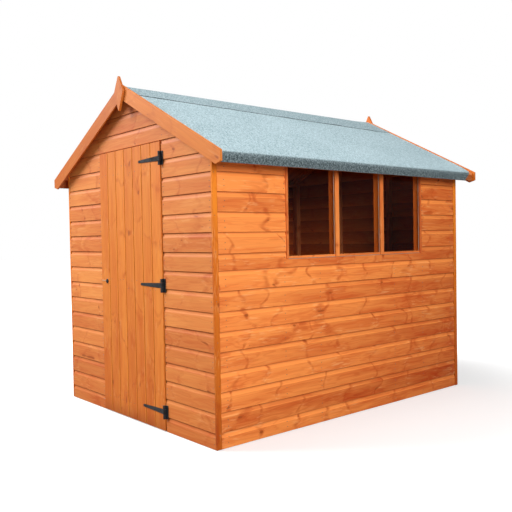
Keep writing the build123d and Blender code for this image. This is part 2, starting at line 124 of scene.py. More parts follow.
class ShedColours(bpy.types.PropertyGroup):
    """Colours of the shed's finishes: pale is the early wood, deep is where it took more dip."""

    side_pale: colour_of("Side boards, pale", "#EE8C42", "Early wood of the side walls, beads and sill")
    side_deep: colour_of("Side boards, deep", "#C44408", "Where the side walls took more dip")
    gable_pale: colour_of("Gable boards, pale", "#E8944A", "Early wood of the gables")
    gable_deep: colour_of("Gable boards, deep", "#C24A0A", "Where the gables took more dip")
    door_pale: colour_of("Door, pale", "#EA8E36", "Early wood of the door")
    door_deep: colour_of("Door, deep", "#C85204", "Where the door took more dip")
    strip_pale: colour_of("Strips, pale", "#E4801A", "Early wood of the planed corner strips")
    strip_deep: colour_of("Strips, deep", "#B24000", "Where the corner strips took more dip")
    stud_pale: colour_of("Window studs, pale", "#EE7C26", "Early wood of the studs beside the panes")
    # the window studs' colours are a brighter copy of the framing: painted light on their sides seen through
    # the panes
    stud_deep: colour_of("Window studs, deep", "#C84404", "Where the window studs took more dip")
    barge_pale: colour_of("Barge boards, pale", "#D47A28", "Early wood of the barge boards and finials")
    barge_deep: colour_of("Barge boards, deep", "#BA4E08", "Where the barge boards took more dip")
    frame_pale: colour_of("Framing, pale", "#E2935C", "Early wood of the sawn framing and boards")
    frame_deep: colour_of("Framing, deep", "#A9531F", "Where the sawn framing took more dip")
    torn: colour_of("Torn grain", "#F8B676", "Torn grain, which took less dip")
    knot: colour_of("Knots", "#9A4712", "Heart of the knots in every dipped board")
    # this colour darkens the shiplap laps as painted shade, and the dark door joints
    grime: colour_of("Grime", "#7C2E04", "Dirt and pooled dip in laps and joints")
    felt: colour_of("Felt", "#BED2D8", "Mineral chips of the roofing felt")
    felt_dark: colour_of("Felt, dark chips", "#8199A0", "Darker chips and bare bitumen between them")
    felt_edge: colour_of("Felt edge", "#24211F", "Bitumen on the felt's cut edges and underside")
    felt_sand: colour_of("Felt sand", "#4A4744", "Sand in the felt's bitumen")
    iron: colour_of("Ironwork", "#16181B", "Black japanned hinges and lock")
    iron_worn: colour_of("Ironwork, worn", "#2B3036", "Where the japan is rubbed")
    zinc: colour_of("Nails", "#777C82", "Zinc-plated nails")
    zinc_dull: colour_of("Nails, dull", "#6B6660", "Zinc stained by the dip")
    latch: colour_of("Latch strip", "#D9A67C", "Latch strip with dip on it")
    latch_deep: colour_of("Latch strip, smeared", "#C98A58", "Latch strip where the dip is thicker")
    glass: colour_of("Glass", "#FFFBF8", "Light that the horticultural glass lets through")
    glass_gloss: colour_of("Glass gloss", "#F2F6F8", "Light that the glass throws back")
    sealant: colour_of("Sealant", "#9A887E", "Glazing sealant")
    sealant_dip: colour_of("Sealant, smeared", "#B0764C", "Dip smeared on the sealant")
    floor: colour_of("Studio floor", "#CCCCCC", "Pale floor of the studio")
    floor_bounce: colour_of("Studio floor, bounce", "#8C8A86", "What the floor throws back at the shed")


# ---- Finishes ----


def feed(node, inputs):
    """Fill a node's inputs, in order or by name, with values or with links from other nodes' outputs."""
    for key, value in inputs.items() if isinstance(inputs, dict) else enumerate(inputs):
        if isinstance(value, bpy.types.NodeSocket):
            node.id_data.links.new(value, node.inputs[key])
        else:
            node.inputs[key].default_value = value


def add_node(tree, kind, inputs=(), **settings):
    """Add a shader node with its settings and inputs, and return its outputs."""
    made = tree.nodes.new(f"ShaderNode{kind}")
    for key, value in settings.items():
        setattr(made, key, value)
    feed(made, inputs)
    return made.outputs


def new_material(name):
    """A new material, the means to add nodes to it, its Principled shader and the shed's colours."""
    material = bpy.data.materials.new(name)
    material.use_nodes = True
    tree = material.node_tree
    return material, partial(add_node, tree), tree.nodes["Principled BSDF"], bpy.context.scene.shed_colours


WOODS = {                       # colours, share of figure, roughness, depth of the saw's marks
    "side_shiplap_dipped": ("side", 1.0, 0.56, 0.0),
    "gable_shiplap_dipped": ("gable", 0.6, 0.6, 0.0),
    "door_matchboard_dipped": ("door", 0.65, 0.56, 0.0),
    "planed_strip_dipped": ("strip", 0.7, 0.5, 0.0),
    # the window studs' finish is a brighter copy of the framing: painted light on the studs seen through the
    # panes
    "window_stud_dipped": ("stud", 0.7, 0.5, 0.0),
    "barge_board_dipped": ("barge", 0.42, 0.55, 0.0),
    "sawn_framing_dipped": ("frame", 0.9, 0.75, 0.5),
}


def softwood(name):
    """Spruce or redwood dipped in a thin orange stain, seen flat-sawn.

    The dip goes in unevenly, so tone drifts along a board and changes at each whorl of knots. Whorls cross
    the board as a soft wavy band about every 0.4 m, with a slanting knot or two on it and paler torn grain
    beside it. Growth rings show as long flames, and the pores as streaks too fine to see, drawn about 3 mm
    wide so that they show.
    """
    material, add, shader, colours = new_material(name)
    kind, figure, roughness, saw_depth = WOODS[name]
    pale, deep = getattr(colours, f"{kind}_pale"), getattr(colours, f"{kind}_deep")
    grain = add("Attribute", attribute_name=GRAIN)["Vector"]
    tint, grime = (add("Attribute", attribute_name=layer)["Fac"] for layer in (TINT_AND_LIGHT, GRIME_AND_SHADE))

    # slow bend of the grain: 250 mm along, 150 mm across
    at = add("VectorMath", (grain, (4, 7, 7)), operation="MULTIPLY")[0]
    bend = add("TexNoise", {"Vector": at, "Scale": 1, "Detail": 1})["Color"]
    bend = add("VectorMath", (bend, (0.5, 0.5, 0.5)), operation="SUBTRACT")[0]
    bent = add("VectorMath", (bend, (0.36, 0.022, 0), grain), operation="MULTIPLY_ADD")[0]

    fields = []
    for source, stretch, detail, rough in (
        (grain, (7, 24, 24), 1, 0.5),           # how a whorl comes and goes across the board
        (bent, (1.3, 13, 13), 3, 0.55),         # growth rings, drawn out along the board
        (bent, (1.8, 17, 17), 2, 0.5),          # broad drift of the dip
        (bent, (13, 95, 95), 2, 0.5),           # torn grain: feathers 75 mm long and 10 mm wide
        (grain, (7, 330, 330), 2, 0.5),         # streaks of the pores
    ):
        at = add("VectorMath", (source, stretch), operation="MULTIPLY")[0]
        field = add("TexNoise", {"Vector": at, "Scale": 1, "Detail": detail, "Roughness": rough})
        fields.append(field["Fac"])
    broken, flame, drift, torn, streak = fields

    # whorls: cells about 400 mm long that reach right across a board, each with its own tone
    at = add("VectorMath", (bent, (2.5, 0.7, 0)), operation="MULTIPLY")[0]
    cell = add("TexVoronoi", {"Vector": at, "Scale": 1}, voronoi_dimensions="2D")["Color"]
    edge = add("TexVoronoi", {"Vector": at, "Scale": 1}, voronoi_dimensions="2D",
               feature="DISTANCE_TO_EDGE")["Distance"]
    near = add("MapRange", (edge, 0, 0.22, 1, 0), **SMOOTH)[0]
    line = add("MapRange", (edge, 0, 0.05, 1, 0), **SMOOTH)[0]
    shown = add("MapRange", (broken, 0.38, 0.6), **SMOOTH)[0]
    line = add("Math", (line, shown), operation="MULTIPLY")[0]

    # knots: slanting ovals of 10 to 45 mm, only on the whorls
    at = add("Mapping", {0: bent, "Rotation": (0, 0, 0.7), "Scale": (9, 25, 1)})[0]
    knot = add("TexVoronoi", {"Vector": at, "Scale": 1}, voronoi_dimensions="2D")
    pick = add("SeparateColor", (knot["Color"],))[0]
    size = add("MapRange", (pick, 0.55, 1, 0, 0.26))[0]
    on_whorl = add("MapRange", (edge, 0.02, 0.06, 1, 0))[0]
    size = add("Math", (size, on_whorl), operation="MULTIPLY")[0]
    inside = add("Math", (size, knot["Distance"]), operation="SUBTRACT")[0]
    heart = add("MapRange", (inside, -0.02, 0.1, 0, 0.75), **SMOOTH)[0]
    halo = add("MapRange", (inside, -0.5, 0), **SMOOTH)[0]
    halo = add("Math", (halo, on_whorl), operation="MULTIPLY")[0]

    # growth rings: contour lines of their field, opened up round the knots
    rings = add("Math", (halo, 0.12, flame), operation="MULTIPLY_ADD")[0]
    rings = add("Math", (rings, 62), operation="MULTIPLY")[0]
    rings = add("Math", (rings,), operation="SINE")[0]
    rings = add("MapRange", (rings, -0.2, 1), **SMOOTH)[0]

    # depth of the dip: its drift, the tones on each side of a whorl, strongest beside it, and the rings
    drift = add("MapRange", (drift, 0.3, 0.7), **SMOOTH)[0]
    tone = add("SeparateColor", (cell,))[1]
    side = add("Math", (tone, 0.42), operation="SUBTRACT")[0]
    side = add("Math", (side, near), operation="MULTIPLY")[0]
    depth = add("Math", (tint, 0.3, 0.3 * (1 - figure)), operation="MULTIPLY_ADD")[0]
    for source, share in ((drift, 0.42), (tone, 0.06), (side, 0.22), (rings, 0.2)):
        depth = add("Math", (source, share * figure, depth), operation="MULTIPLY_ADD")[0]

    # torn grain shows beside some whorls, and fine streaks run everywhere
    torn = add("MapRange", (torn, 0.52, 0.66), **SMOOTH)[0]
    rare = add("MapRange", (broken, 0.58, 0.44, 0, 0.4 * figure), **SMOOTH)[0]
    for share in (rare, near):
        torn = add("Math", (torn, share), operation="MULTIPLY")[0]
    # the tint layer also brightens or darkens the wood: with it come the painted highlight in the coves and
    # painted shade on the boards' backs, the eaves battens, the window wall's back and the gables' apex
    shade = add("MapRange", (streak, 0.3, 0.7, 0.94, 1.06))[0]
    shade = add("Math", (tint, -0.14, shade), operation="MULTIPLY_ADD")[0]
    dark = add("Math", (halo, 0.32 * figure), operation="MULTIPLY")[0]
    dark = add("Math", (line, 0.42 * figure, dark), operation="MULTIPLY_ADD")[0]
    burnt = Vector(deep).lerp(Vector(colours.knot), 0.35)
    # painted shade in the laps, dark door joints and the darker foot of the door, from the grime layer
    grime = add("Math", (grime, 0.85), operation="MULTIPLY")[0]
    colour = pale
    for share, over in ((depth, deep), (torn, colours.torn)):
        colour = add("Mix", {0: share, 6: colour, 7: over}, data_type="RGBA")[2]
    colour = add("VectorMath", {0: colour, "Scale": shade}, operation="SCALE")[0]
    for share, over in ((dark, burnt), (heart, colours.knot), (grime, colours.grime)):
        colour = add("Mix", {0: share, 6: colour, 7: over}, data_type="RGBA")[2]

    # raised late wood, and the saw's cross marks about 8 mm apart on rough timber
    height = add("Math", (rings, 0.35, streak), operation="MULTIPLY_ADD")[0]
    if saw_depth:
        saw = add("TexWave", {"Vector": grain, "Scale": 40, "Distortion": 1.5, "Detail": 2})["Fac"]
        height = add("Math", (saw, saw_depth, height), operation="MULTIPLY_ADD")[0]
    bump = add("Bump", {"Height": height, "Strength": 0.35, "Distance": 0.6 * MM})[0]
    feed(shader, {"Base Color": colour, "Normal": bump, "Roughness": roughness, "Specular IOR Level": 0.3})
    return material


def mineral_felt(name):
    """Bitumen roofing felt faced with crushed slate chips, rolled in hot: a light and dark speckle, no gloss.

    The chips are 1 to 2 mm, too fine to show, so they are drawn in clusters of about 3 to 11 mm. The band
    where the sheet turns down at the eaves is painted darker: painted shade, mottled by the clusters.
    """
    material, add, shader, colours = new_material(name)
    place = add("TexCoord")["Object"]
    tint = add("Attribute", attribute_name=TINT_AND_LIGHT)["Fac"]
    chips, clusters, patches = (
        add("TexNoise", {"Vector": place, "Scale": scale, "Detail": detail, "Roughness": rough})["Fac"]
        for scale, detail, rough in ((330, 1, 0.5), (90, 2, 0.8), (3, 3, 0.5))
    )
    speckle = add("Math", (chips, 0.5, clusters), operation="MULTIPLY_ADD")[0]
    speckle = add("MapRange", (speckle, 0.62, 0.88))[0]
    speckle = add("Math", (patches, 0.5, speckle), operation="MULTIPLY_ADD")[0]
    speckle = add("Math", (speckle, 0.2), operation="SUBTRACT", use_clamp=True)[0]
    colour = add("Mix", {0: speckle, 6: colours.felt_dark, 7: colours.felt}, data_type="RGBA")[2]
    # painted shade on the turned-down band, mottled by the clusters
    uneven = add("Math", (clusters, -0.7, 0.97), operation="MULTIPLY_ADD")[0]
    shade = add("Math", (tint, uneven, 1), operation="MULTIPLY_ADD")[0]
    colour = add("VectorMath", {0: colour, "Scale": shade}, operation="SCALE")[0]
    bump = add("Bump", {"Height": speckle, "Strength": 0.6, "Distance": 1.2 * MM})[0]
    feed(shader, {"Base Color": colour, "Normal": bump, "Roughness": 0.92, "Specular IOR Level": 0.25})
    return material


def bitumen(name):
    """Cut edge and underside of the felt: black bitumen with a little sand, dull."""
    material, add, shader, colours = new_material(name)
    place = add("TexCoord")["Object"]
    sand = add("TexNoise", {"Vector": place, "Scale": 180, "Detail": 2})["Fac"]
    colour = add("Mix", {0: sand, 6: colours.felt_edge, 7: colours.felt_sand}, data_type="RGBA")[2]
    feed(shader, {"Base Color": colour, "Roughness": 0.8})
    return material


def japanned_iron(name):
    """Pressed mild steel with baked black japan: nearly black, a soft satin sheen, faint orange peel."""
    material, add, shader, colours = new_material(name)
    place = add("TexCoord")["Object"]
    peel = add("TexNoise", {"Vector": place, "Scale": 320, "Detail": 1})["Fac"]
    worn = add("TexNoise", {"Vector": place, "Scale": 45, "Detail": 3})["Fac"]
    worn = add("MapRange", (worn, 0.35, 0.75))[0]
    colour = add("Mix", {0: worn, 6: colours.iron, 7: colours.iron_worn}, data_type="RGBA")[2]
    rough = add("MapRange", {"Value": worn, "To Min": 0.34, "To Max": 0.5})[0]
    bump = add("Bump", {"Height": peel, "Strength": 0.2, "Distance": 0.2 * MM})[0]
    feed(shader, {"Base Color": colour, "Roughness": rough, "Normal": bump})
    return material


def zinc_plate(name):
    """Zinc-plated wire: dull blue-grey metal, spangled and slightly stained by the dip."""
    material, add, shader, colours = new_material(name)
    place = add("TexCoord")["Object"]
    spangle = add("TexVoronoi", {"Vector": place, "Scale": 140})["Color"]
    spangle = add("SeparateColor", (spangle,))[0]
    colour = add("Mix", {0: spangle, 6: colours.zinc, 7: colours.zinc_dull}, data_type="RGBA")[2]
    feed(shader, {"Base Color": colour, "Metallic": 1, "Roughness": 0.45})
    return material


def smeared_zinc(name):
    """Zinc-plated latch strip under a smear of orange dip that hides the metal: pale, dulled in patches."""
    material, add, shader, colours = new_material(name)
    place = add("TexCoord")["Object"]
    smear = add("TexNoise", {"Vector": place, "Scale": 60, "Detail": 3})["Fac"]
    colour = add("Mix", {0: smear, 6: colours.latch, 7: colours.latch_deep}, data_type="RGBA")[2]
    feed(shader, {"Base Color": colour, "Roughness": 0.5})
    return material


def horticultural_glass(name):
    """3 mm drawn glass: nearly no gloss head-on, more at a glance, and a faint ripple from drawing.

    What lies behind it is dark, so the pane lets a little less through than clear glass would.
    """
    material, add, shader, colours = new_material(name)
    place = add("TexCoord")["Object"]
    ripple = add("TexNoise", {"Vector": place, "Scale": 5, "Detail": 1})["Fac"]
    bump = add("Bump", {"Height": ripple, "Strength": 0.05, "Distance": 1 * MM})[0]
    # a mirror, of which the mix below lets only a few hundredths through
    feed(shader, {"Base Color": colours.glass_gloss, "Metallic": 1, "Roughness": 0.02, "Normal": bump})
    clear = add("BsdfTransparent", {"Color": colours.glass})[0]
    graze = add("LayerWeight", {"Blend": 0.25})["Facing"]
    gloss = add("Math", (graze, 0.035, 0.006), operation="MULTIPLY_ADD")[0]
    mixed = add("MixShader", (gloss, clear, shader.outputs[0]))[0]
    feed(material.node_tree.nodes["Material Output"], {"Surface": mixed})
    return material


def glazing_sealant(name):
    """A thumbed line of glazing sealant: pale, rubbery, smeared with orange dip."""
    material, add, shader, colours = new_material(name)
    place = add("TexCoord")["Object"]
    smear = add("TexNoise", {"Vector": place, "Scale": 30, "Detail": 3})["Fac"]
    smear = add("MapRange", (smear, 0.4, 0.75))[0]
    colour = add("Mix", {0: smear, 6: colours.sealant, 7: colours.sealant_dip}, data_type="RGBA")[2]
    feed(shader, {"Base Color": colour, "Roughness": 0.4})
    return material


def floor_paint(name):
    """Matt floor paint that the camera sees fade to white from 1.6 to 3.2 m out, and that bounces little."""
    material, add, shader, colours = new_material(name)
    seen = add("LightPath")["Is Camera Ray"]
    colour = add("Mix", {0: seen, 6: colours.floor_bounce, 7: colours.floor}, data_type="RGBA")[2]
    far = add("VectorMath", (add("TexCoord")["Object"],), operation="LENGTH")["Value"]
    far = add("MapRange", (far, 1.6, 3.2, 0.5, 1), **SMOOTH)[0]
    glow = add("Math", (seen, far), operation="MULTIPLY")[0]
    feed(shader, {"Base Color": colour, "Emission Color": (1, 1, 1, 1), "Emission Strength": glow,
                  "Roughness": 1, "Specular IOR Level": 0})
    return material


OTHER_FINISHES = {
    "mineral_felt_slate_chips": mineral_felt,
    "bitumen_cut_edge": bitumen,
    "black_japanned_steel": japanned_iron,
    "zinc_plated_steel": zinc_plate,
    "zinc_smeared_with_dip": smeared_zinc,
    "horticultural_glass_3mm": horticultural_glass,
    "glazing_sealant": glazing_sealant,
    "studio_floor_paint": floor_paint,
}


def finish_of(name):
    """A finish by its name, made the first time it is asked for."""
    made = bpy.data.materials.get(name)
    return made or OTHER_FINISHES.get(name, softwood)(name)


# ---- Places, read from the frame ----

PLAIN_LOW, PLAIN_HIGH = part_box("plain_wall")
BACK_LOW, BACK_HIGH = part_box("back_wall")
LEFT_LOW, LEFT_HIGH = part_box("front_wall_left")
WINDOW_LOW, WINDOW_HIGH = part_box("window_beads")
BOARDS_LOW, BOARDS_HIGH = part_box("roof_boards_right")
FELT_LOW, FELT_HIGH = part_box("felt_right")
DOOR_LOW, DOOR_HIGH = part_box("door_boards")
FLOOR_LOW, FLOOR_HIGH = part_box("floor_boards")
DOOR_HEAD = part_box("front_gable")[0].z           # lower edge of the boards over the door
DOORWAY = (LEFT_HIGH.x, -LEFT_HIGH.x, 0.0, DOOR_HEAD)
RIDGE = BACK_HIGH.z                              # underside of the roof boards at the ridge
PITCH = atan((RIDGE - PLAIN_HIGH.z) / -PLAIN_LOW.x)
X, Y, Z = Vector((1, 0, 0)), Vector((0, 1, 0)), Vector((0, 0, 1))


# ---- Making pieces ----


def new_part():
    """An empty mesh that carries grain, tint and grime."""
    part = bmesh.new()
    part.verts.layers.float_vector.new(GRAIN)
    part.verts.layers.float.new(TINT_AND_LIGHT)
    part.verts.layers.float.new(GRIME_AND_SHADE)
    return part


class Piece:
    """A piece put together from closed parts, then placed on its body."""

    def __init__(self, name, body, slot, *finishes):
        self.name, self.body, self.slot, self.finishes = name, body, slot, finishes
        self.whole = new_part()

    def add(self, part):
        """Take in one closed part."""
        bmesh.ops.recalc_face_normals(part, faces=part.faces)
        carrier = bpy.data.meshes.new("carrier")
        part.to_mesh(carrier)
        part.free()
        self.whole.from_mesh(carrier)
        bpy.data.meshes.remove(carrier)

    def place(self, *replaced):
        """Make the object, put it on its body and hide the CAD nodes that it stands for."""
        if not self.whole.faces or not all(edge.is_manifold for edge in self.whole.edges):
            raise RuntimeError(f"{self.name} is empty or open")
        mesh = bpy.data.meshes.new(self.name)
        self.whole.to_mesh(mesh)
        self.whole.free()
        for finish in self.finishes:
            mesh.materials.append(finish_of(finish))
        mesh.shade_smooth()
        mesh.set_sharp_from_angle(angle=radians(32))
        made = bpy.data.objects.new(self.name, mesh)
        bpy.context.scene.collection.objects.link(made)
        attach(made, self.body)
        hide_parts(*replaced)


def grow(part, seed, along, across, depth, tone=0.0, spread=0.8):
    """Give a timber grain on three unit directions, and a tint from its own seed and a tone."""
    luck = random.Random(seed)
    shift = Vector([luck.uniform(0, 60) for _ in range(3)])
    tint = luck.uniform(-spread, spread)
    grain_layer, dip_and_light_layer = part.verts.layers.float_vector[GRAIN], part.verts.layers.float[TINT_AND_LIGHT]
    for vert in part.verts:
        vert[grain_layer] = Vector((along.dot(vert.co), across.dot(vert.co), depth.dot(vert.co))) + shift
        vert[dip_and_light_layer] += tint + (tone(vert.co) if callable(tone) else tone)
    return part


def oblong(low_y, high_y, low_z, high_z):
    """Section of a square-cornered bar."""
    return [(low_y, low_z), (high_y, low_z), (high_y, high_z), (low_y, high_z)]


def bar(profile, length, steps=1):
    """A closed bar: a profile of (y, z) points swept along X."""
    part = new_part()
    end = part.faces.new([part.verts.new((0, y, z)) for y, z in profile])
    for n in range(steps):
        swept = bmesh.ops.extrude_face_region(part, geom=[end])["geom"]
        if n:
            bmesh.ops.delete(part, geom=[end], context="FACES_ONLY")
        end = next(item for item in swept if isinstance(item, bmesh.types.BMFace))
        bmesh.ops.translate(part, verts=end.verts, vec=(length / steps, 0, 0))
    return part


def turn(part, origin, along, outward, up):
    """Put a part made along X, with Y outward and Z up, in its place."""
    directions = Matrix((along, outward, up)).transposed().to_4x4()
    bmesh.ops.transform(part, matrix=Matrix.Translation(origin) @ directions, verts=part.verts)
    return part


def cut(part, point, normal):
    """Saw a closed part and keep the side away from the normal."""
    geometry = part.verts[:] + part.edges[:] + part.faces[:]
    sawn = bmesh.ops.bisect_plane(part, geom=geometry, dist=1e-7, plane_co=point, plane_no=normal,
                                  clear_outer=True)["geom_cut"]
    edges = [item for item in sawn if isinstance(item, bmesh.types.BMEdge) and item.is_boundary]
    bmesh.ops.holes_fill(part, edges=edges, sides=0)
    return part


def ease(part, width, steepest=30):
    """Bevel the edges where a part turns by more than an angle in degrees."""
    edges = [edge for edge in part.edges if edge.calc_face_angle(0) > radians(steepest)]
    bmesh.ops.bevel(part, geom=edges, offset=width, offset_type="WIDTH", segments=1, profile=0.5,
                    affect="EDGES", clamp_overlap=True, material=-1)
    return part


def corners(part):
    """Lowest and highest corner of a part's box."""
    return [Vector([pick(vert.co[axis] for vert in part.verts) for axis in range(3)]) for pick in (min, max)]


def loose_parts(node):
    """Copies of a CAD node's separate solids, merged into clean closed meshes."""
    whole = new_part()
    whole.from_mesh(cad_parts[node].data)
    bmesh.ops.remove_doubles(whole, verts=whole.verts, dist=1e-5)
    bmesh.ops.dissolve_limit(whole, angle_limit=radians(0.5), verts=whole.verts, edges=whole.edges)
    for face in whole.faces:
        face.material_index = 0
    whole.verts.ensure_lookup_table()
    unseen = set(range(len(whole.verts)))
    while unseen:
        island, queue = set(), [min(unseen)]
        while queue:
            here = queue.pop()
            if here not in island:
                island.add(here)
                queue += [edge.other_vert(whole.verts[here]).index for edge in whole.verts[here].link_edges]
        unseen -= island
        part = whole.copy()
        strangers = [vert for vert in part.verts if vert.index not in island]
        bmesh.ops.delete(part, geom=strangers, context="VERTS")
        yield part
    whole.free()


def carry(name, node, body, slot, finish, arris, tone=0.0, along=None):
    """Replace one CAD node by its own timbers, eased, with the grain along their longest edges."""
    piece = Piece(name, body, slot, finish)
    for n, part in enumerate(loose_parts(node)):
        longest = max(part.edges, key=lambda edge: edge.calc_length())
        run = along or (longest.verts[1].co - longest.verts[0].co).normalized()
        low, high = corners(part)
        spans = {high[n] - low[n]: axis for n, axis in enumerate((X, Y, Z)) if abs(axis.dot(run)) < 0.01}
        depth = spans[min(spans)]
        piece.add(grow(ease(part, arris), f"{node} {n}", run, depth.cross(run), depth, tone))
    piece.place(node)


def waver(place, seed, reach):
    """A smooth wander from -1 to 1 along a line, in steps of about the reach."""
    return noise.noise(Vector((place / reach, seed * 7.31, 3.7)))


# ---- Shiplap walls ----


def shiplap_profile(cover, sizes):
    """Section of a shiplap board as (outward, up) points: lip, flat face, hollow cove and tongue."""
    face, tongue = sizes.board, sizes.tongue
    fall = face - tongue
    radius = (fall * fall + sizes.cove * sizes.cove) / (2 * fall)
    sweep = atan(sizes.cove / (radius - fall))
    lip, rebate, arris, cove_top = 9 * MM, tongue + 0.5 * MM, 0.8 * MM, cover - 1.5 * MM
    points = [(0, lip), (rebate, lip), (rebate, 0), (face - arris, 0), (face, arris)]
    points.append((face, cove_top - sizes.cove - 5 * MM))
    for n in range(7):
        angle = pi + sweep * (1 - n / 6)
        points.append((tongue + radius + radius * cos(angle), cove_top + radius * sin(angle)))
    return points + [(tongue, cover + sizes.lap), (0, cover + sizes.lap)]


def weather(board, cover, start, seed, rise, cove, sizes):
    """Paint shade on a shiplap board's back, a highlight in its cove and shade in its lap, lift it by its
    rise and let its edges wander.
    """
    grime_and_shade_layer, dip_and_light_layer = board.verts.layers.float[GRIME_AND_SHADE], board.verts.layers.float[TINT_AND_LIGHT]
    for vert in board.verts:
        outward, height = vert.co.y, vert.co.z
        # the board's back, inside the shed, is painted deeper: painted shade for the dark inside seen through
        # the panes
        if outward < 0.5 * MM:
            vert[dip_and_light_layer] = 0.8
        # the cove is painted paler, a painted highlight where it faces up; a cove below zero paints it darker
        elif height > cover - sizes.cove - 2.5 * MM:
            vert[dip_and_light_layer] = -cove if height < cover - sizes.cove else -0.5 * cove
        # painted shade in the lap, under the next board's lip, strongest right under it
        below = (cover - height) / MM
        lap_shade = 0.68 + 0.13 * cove if below < 3 else 0.2 + 0.2 * cove - 0.07 * (below - 5.7)
        vert[grime_and_shade_layer] = max(0.0, lap_shade)
        here = vert.co.x + start
        vert.co.z += rise + 1.1 * MM * waver(here, seed, 0.45)
        vert.co.y -= 0.5 * MM * (1 + waver(here, seed + 40, 0.3)) * outward / sizes.board


def notch(board, along, hole, low, high):
    """Saw a board round an opening, into lengths with their names: beside it, and over or under it."""
    start, end, bottom, top = hole
    notched = low < bottom - MM or high > top + MM
    lengths = [(cut(board.copy(), along * start, along), "" if notched else "near"),
               (cut(board.copy(), along * end, -along), "" if notched else "far")]
    if notched:
        middle = cut(cut(board.copy(), along * start, -along), along * end, along)
        lengths.append((cut(middle, Z * bottom, Z) if low < bottom else cut(middle, Z * top, -Z), ""))
    board.free()
    return lengths


def clad(piece, label, wall, courses, top, hole=None, saws=(), tone=0.0, spread=0.55, cove=1.3):
    """Clad a wall with shiplap, course by course.

    wall is its along and outward directions, the place of its boards' backs, and where it starts and ends.
    hole is where an opening starts and ends, its bottom and its top. saws are the planes that trim the wall.
    cove says how much paler the hollow along each board's top is painted: a painted highlight, darker below
    zero.
    """
    sizes = bpy.context.scene.shed_sizes
    along, outward, back, start, end = wall
    steps = max(2, round((end - start) / (140 * MM)))
    for row, (low, high) in enumerate(zip(courses, [*courses[1:], top + 1])):
        cover = min(high - low, sizes.course * 1.2)
        board = bar(shiplap_profile(cover, sizes), end - start, steps)
        rise = random.Random(f"{label} rise {row}").uniform(-0.7, 0.7) * MM
        weather(board, cover, start, row + len(label), rise, cove, sizes)
        turn(board, outward * back + along * start + Z * low, along, outward, Z)
        for point, normal in [(Z * top, Z), *saws] if high > top else saws:
            cut(board, point, normal)
        crossed = hole and high > hole[2] + MM and low < hole[3] - MM
        for part, name in notch(board, along, hole, low, high) if crossed else [(board, "")]:
            if part.faces:
                piece.add(grow(part, f"{label} {row} {name}", along, Z, outward, tone, spread))
            else:
                part.free()


def courses_of(sizes, top, head=None):
    """Lower edges of a wall's boards, from the ground up, the nearest one moved to a doorway's head."""
    courses, lower = [sizes.first_course], sizes.second_course
    while lower < top:
        courses.append(lower)
        lower += sizes.course
    if head:
        courses[min(range(len(courses)), key=lambda n: abs(courses[n] - head))] = head
    return courses


# lower edges of the window wall's boards in metres: some were planed to meet the window's sill and head
WINDOW_ROWS = (0.004, 0.096, 0.208, 0.320, 0.432, 0.545, 0.658, 0.771, 0.885, 1.000, 1.094, 1.215, 1.329,
               1.442, 1.554, 1.664)


def window_wall_dip_and_shade(co):
    """The window wall is painted deeper towards its back lower end: partly more dip, partly painted shade
    where its light falls off.
    """
    return max(-0.4, 0.8 * (co.y / -PLAIN_LOW.y) + 0.7 * (1.0 - co.z))


def low_deep_ridge_shade(co):
    """The gables and the door are painted deeper near the ground, and deeper right under the ridge as painted
    shade.
    """
    return 0.6 * max(0.0, 0.9 - co.z) + 0.8 * max(0.0, co.z - 1.6)


class ShedOperator:
    """Options that the shed's operators share."""

    bl_options = {"REGISTER", "UNDO"}


class SHED_OT_window_wall(ShedOperator, bpy.types.Operator):
    """Clad the wall with the windows in coved shiplap, notched round the window"""

    bl_idname = "shed.window_wall"
    bl_label = "Window wall"

    def execute(self, context):
        gap = context.scene.shed_sizes.strip_gap
        piece = Piece("window_wall_shiplap", "shed", "dipped_softwood", "side_shiplap_dipped")
        wall = (Y, X, -PLAIN_HIGH.x, PLAIN_LOW.y + gap, PLAIN_HIGH.y - gap)
        hole = (WINDOW_LOW.y, WINDOW_HIGH.y, WINDOW_LOW.z, WINDOW_HIGH.z)
        clad(piece, "window wall", wall, WINDOW_ROWS, PLAIN_HIGH.z, hole, tone=window_wall_dip_and_shade)
        piece.place("window_wall_lower", "window_wall_front", "window_wall_back", "window_wall_head")
        return {"FINISHED"}


class SHED_OT_plain_wall(ShedOperator, bpy.types.Operator):
    """Clad the wall without windows in coved shiplap"""

    bl_idname = "shed.plain_wall"
    bl_label = "Plain wall"

    def execute(self, context):
        sizes = context.scene.shed_sizes
        piece = Piece("plain_wall_shiplap", "shed", "dipped_softwood", "side_shiplap_dipped")
        wall = (Y, -X, -PLAIN_HIGH.x, PLAIN_LOW.y + sizes.strip_gap, PLAIN_HIGH.y - sizes.strip_gap)
        clad(piece, "plain wall", wall, courses_of(sizes, PLAIN_HIGH.z), PLAIN_HIGH.z)
        piece.place("plain_wall")
        return {"FINISHED"}


class SHED_OT_gables(ShedOperator, bpy.types.Operator):
    """Clad both gables in coved shiplap, cut to the roof and round the doorway"""

    bl_idname = "shed.gables"
    bl_label = "Gables"

    def execute(self, context):
        sizes = context.scene.shed_sizes
        under_roof = Z * (RIDGE - 0.4 * MM)
        saws = [(under_roof, Vector((side * sin(PITCH), 0, cos(PITCH)))) for side in (-1, 1)]
        for name, outward, head, hole, nodes in (
            ("front", -Y, DOOR_HEAD, DOORWAY, ("front_wall_left", "front_wall_right", "front_gable")),
            ("back", Y, None, None, ("back_wall",)),
        ):
            piece = Piece(f"{name}_gable_shiplap", "shed", "dipped_softwood", "gable_shiplap_dipped")
            wall = (X, outward, BACK_LOW.y, BACK_LOW.x, BACK_HIGH.x)
            # cove -0.4 paints the gables' coves a little darker, against the highlight their light already
            # gives
            clad(piece, f"{name} gable", wall, courses_of(sizes, RIDGE, head), RIDGE, hole, saws,
                 low_deep_ridge_shade, 0.35, -0.4)
            piece.place(*nodes)
        return {"FINISHED"}


